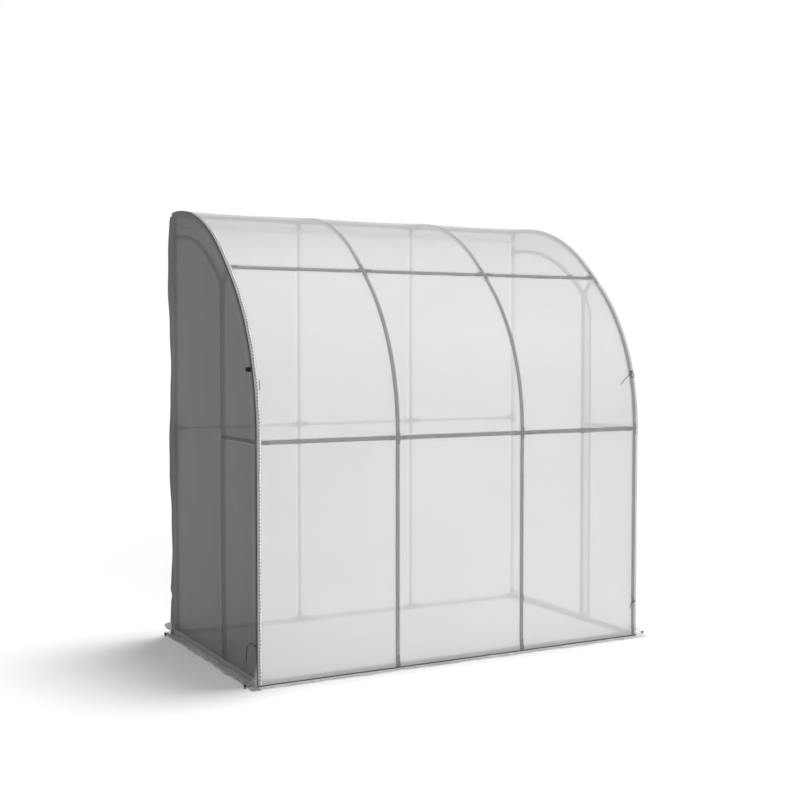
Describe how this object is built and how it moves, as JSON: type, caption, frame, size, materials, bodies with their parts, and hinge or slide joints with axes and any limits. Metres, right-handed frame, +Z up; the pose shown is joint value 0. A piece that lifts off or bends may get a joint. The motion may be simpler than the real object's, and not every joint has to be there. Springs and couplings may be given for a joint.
{
  "type": "lean-to film greenhouse",
  "caption": "Lean-to greenhouse: bent-tube arches against an upright back, rails in plugged fittings, closed by reinforced film with a zipped door flap in one end.",
  "frame": {"origin": "middle of the footprint, on the ground", "axes": "+X along the length towards the end with the zipped flap, +Y from the curved front to the upright back, +Z up"},
  "size_m": [2.1104, 1.1958, 2.0784],
  "materials": {
    "tube": "satin grey coat",
    "fitting": "moulded, satin",
    "film": "milky translucent film with a woven reinforcing grid",
    "end_film": "the same film in shade, smoky grey",
    "zip": "woven tape",
    "cord": "braided",
    "trim": "moulded"
  },
  "bodies": {
    "root": {"arch_left_end": "tube", "arch_left_middle": "tube", "arch_right_middle": "tube", "arch_right_end": "tube", "rear_post_left_end": "tube", "rear_post_left_middle": "tube", "rear_post_right_middle": "tube", "rear_post_right_end": "tube", "base_rail_front": "tube", "base_rail_back": "tube", "base_rail_left": "tube", "base_rail_right": "tube", "mid_rail_front": "tube", "mid_rail_back": "tube", "mid_rail_left": "tube", "mid_rail_right": "tube", "roof_purlin": "tube", "top_rail": "tube", "door_post_left": "tube", "door_post_right": "tube", "door_head_left": "tube", "door_head_right": "tube", "head_brace_left": "tube", "head_brace_right": "tube", "base_fittings": "fitting", "mid_fittings": "fitting", "purlin_fittings": "fitting", "top_fittings": "fitting", "door_frame_fittings": "fitting", "cover_front": "film", "cover_back": "film", "end_panel_left": "end_film", "end_panel_right": "film", "door_flap_right": "film", "door_zip_right": "zip", "film_clip_left": "trim", "tie_knots": "cord", "tie_cord_lower_left": "cord", "tie_cord_upper_right": "cord", "tie_cord_lower_right_long": "cord", "tie_cord_lower_right_short": "cord", "ground_pegs": "trim", "peg_loops": "cord"}
  },
  "joints": []
}
